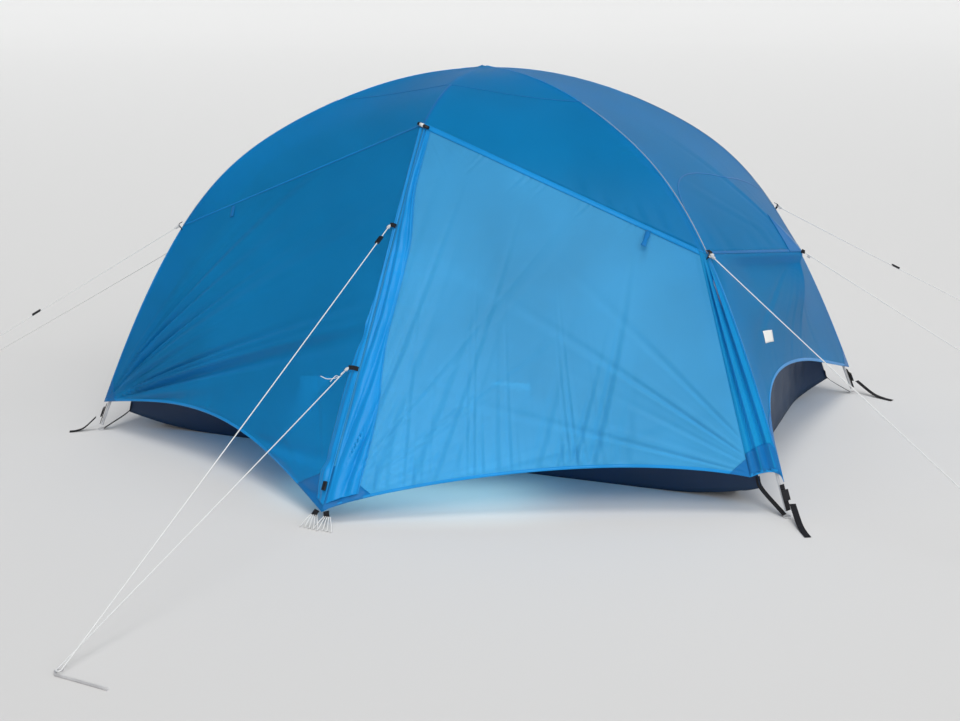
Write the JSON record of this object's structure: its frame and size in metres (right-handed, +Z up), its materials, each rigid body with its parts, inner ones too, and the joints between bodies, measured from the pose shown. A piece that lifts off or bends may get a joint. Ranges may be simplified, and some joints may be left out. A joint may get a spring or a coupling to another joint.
{
  "type": "dome tent",
  "caption": "Pole-framed two-person dome tent with a fly, opposed vestibules with zipped doors, end hoods, an inner tent on a bathtub floor, guylines and pegs",
  "frame": {"origin": "on the ground directly under the pole crossing, at the centre of the footprint", "axes": "+Z up, +X to the right along the sleeping length, -Y towards the front vestibule"},
  "size_m": [4.3053, 3.9942, 1.2058],
  "materials": {
    "pole_alloy": "satin anodised tube",
    "hub_plastic": "matte",
    "fly_fabric": "coated ripstop, slightly translucent, soft sheen",
    "door_fabric": "coated ripstop, slightly translucent, soft sheen",
    "inner_fabric": "thin uncoated cloth",
    "tub_fabric": "matte coated cloth",
    "webbing": "matte woven tape",
    "cord": "braided",
    "plastic": "satin",
    "peg_alloy": "satin"
  },
  "bodies": {
    "tent": {"pole_hub": "hub_plastic", "pole_lower_front_left": "pole_alloy", "pole_lower_front_right": "pole_alloy", "pole_lower_back_left": "pole_alloy", "pole_lower_back_right": "pole_alloy", "pole_upper_front_left": "pole_alloy", "pole_upper_front_right": "pole_alloy", "pole_upper_back_left": "pole_alloy", "pole_upper_back_right": "pole_alloy", "brow_pole_front": "pole_alloy", "brow_pole_back": "pole_alloy", "fly_crown": "fly_fabric", "fly_roof_front": "fly_fabric", "fly_roof_back": "fly_fabric", "fly_roof_left": "fly_fabric", "fly_roof_right": "fly_fabric", "fly_end_left": "fly_fabric", "fly_end_right": "fly_fabric", "fly_panel_front": "fly_fabric", "fly_panel_back": "fly_fabric", "fly_door_band_front": "fly_fabric", "fly_door_band_back": "fly_fabric", "tub_floor": "tub_fabric", "inner_wall_left": "inner_fabric", "inner_wall_right": "inner_fabric", "inner_roof": "inner_fabric", "corner_strap_front_left": "webbing", "corner_strap_front_right": "webbing", "corner_strap_back_left": "webbing", "corner_strap_back_right": "webbing", "guyline_front_left": "cord", "guyline_front_right": "cord", "guyline_back_left": "cord", "guyline_back_right": "cord", "peg_front_left": "peg_alloy", "peg_front_right": "peg_alloy", "peg_back_left": "peg_alloy", "peg_back_right": "peg_alloy", "hood_guyline_left": "cord", "hood_guyline_right": "cord", "hood_peg_left": "peg_alloy", "hood_peg_right": "peg_alloy", "ridge_guyline_front": "cord", "ridge_guyline_back": "cord", "ridge_peg_front": "peg_alloy", "ridge_peg_back": "peg_alloy"},
    "door_front": {"fly_door_front": "door_fabric"},
    "zip_front": {"zip_slider_front": "plastic"},
    "door_back": {"fly_door_back": "door_fabric"},
    "zip_back": {"zip_slider_back": "plastic"},
    "buckle_front_left": {"ladder_buckle_front_left": "plastic"},
    "tensioner_front_left": {"tensioner_front_left": "plastic"},
    "buckle_front_right": {"ladder_buckle_front_right": "plastic"},
    "tensioner_front_right": {"tensioner_front_right": "plastic"},
    "buckle_back_left": {"ladder_buckle_back_left": "plastic"},
    "tensioner_back_left": {"tensioner_back_left": "plastic"},
    "buckle_back_right": {"ladder_buckle_back_right": "plastic"},
    "tensioner_back_right": {"tensioner_back_right": "plastic"},
    "ridge_tensioner_front": {"ridge_tensioner_front": "plastic"},
    "ridge_tensioner_back": {"ridge_tensioner_back": "plastic"}
  },
  "joints": [
    {"name": "door_front_swing", "type": "hinge", "parent": "tent", "child": "door_front", "pos_m": [1.11364, -0.71519, 0.00274], "axis": [-0.3125, 0.2695, 0.9109], "range_deg": [0, 75]},
    {"name": "door_back_swing", "type": "hinge", "parent": "tent", "child": "door_back", "pos_m": [-1.11364, 0.71519, 0.00274], "axis": [0.3125, -0.2695, 0.9109], "range_deg": [0, 75]},
    {"name": "zip_front_run", "type": "slide", "parent": "tent", "child": "zip_front", "axis": [0.0146, 0.5636, 0.8259], "range_m": [0, 1.05]},
    {"name": "zip_back_run", "type": "slide", "parent": "tent", "child": "zip_back", "axis": [-0.0146, -0.5636, 0.8259], "range_m": [0, 1.05]},
    {"name": "buckle_front_left_tilt", "type": "hinge", "parent": "tent", "child": "buckle_front_left", "pos_m": [-1.16887, -0.66088, 0.07898], "axis": [-0.4922, 0.8705, 0], "range_deg": [0, 40]},
    {"name": "buckle_front_right_tilt", "type": "hinge", "parent": "tent", "child": "buckle_front_right", "pos_m": [1.16887, -0.66088, 0.07898], "axis": [-0.4922, -0.8705, 0], "range_deg": [0, 40]},
    {"name": "buckle_back_left_tilt", "type": "hinge", "parent": "tent", "child": "buckle_back_left", "pos_m": [-1.16887, 0.66088, 0.07898], "axis": [0.4922, 0.8705, 0], "range_deg": [0, 40]},
    {"name": "buckle_back_right_tilt", "type": "hinge", "parent": "tent", "child": "buckle_back_right", "pos_m": [1.16887, 0.66088, 0.07898], "axis": [0.4922, -0.8705, 0], "range_deg": [0, 40]},
    {"name": "tensioner_front_left_run", "type": "slide", "parent": "tent", "child": "tensioner_front_left", "axis": [0.7479, 0.4483, 0.4896], "range_m": [0, 0.4]},
    {"name": "tensioner_front_right_run", "type": "slide", "parent": "tent", "child": "tensioner_front_right", "axis": [-0.7745, 0.3464, 0.5294], "range_m": [0, 0.4]},
    {"name": "tensioner_back_left_run", "type": "slide", "parent": "tent", "child": "tensioner_back_left", "axis": [0.7479, -0.4483, 0.4896], "range_m": [0, 0.4]},
    {"name": "tensioner_back_right_run", "type": "slide", "parent": "tent", "child": "tensioner_back_right", "axis": [-0.6814, -0.579, 0.4477], "range_m": [0, 0.4]},
    {"name": "ridge_tensioner_front_run", "type": "slide", "parent": "tent", "child": "ridge_tensioner_front", "axis": [-0.0653, -0.8809, -0.4688], "range_m": [0, 0.6]},
    {"name": "ridge_tensioner_back_run", "type": "slide", "parent": "tent", "child": "ridge_tensioner_back", "axis": [0.0645, 0.819, -0.5702], "range_m": [0, 0.6]}
  ]
}
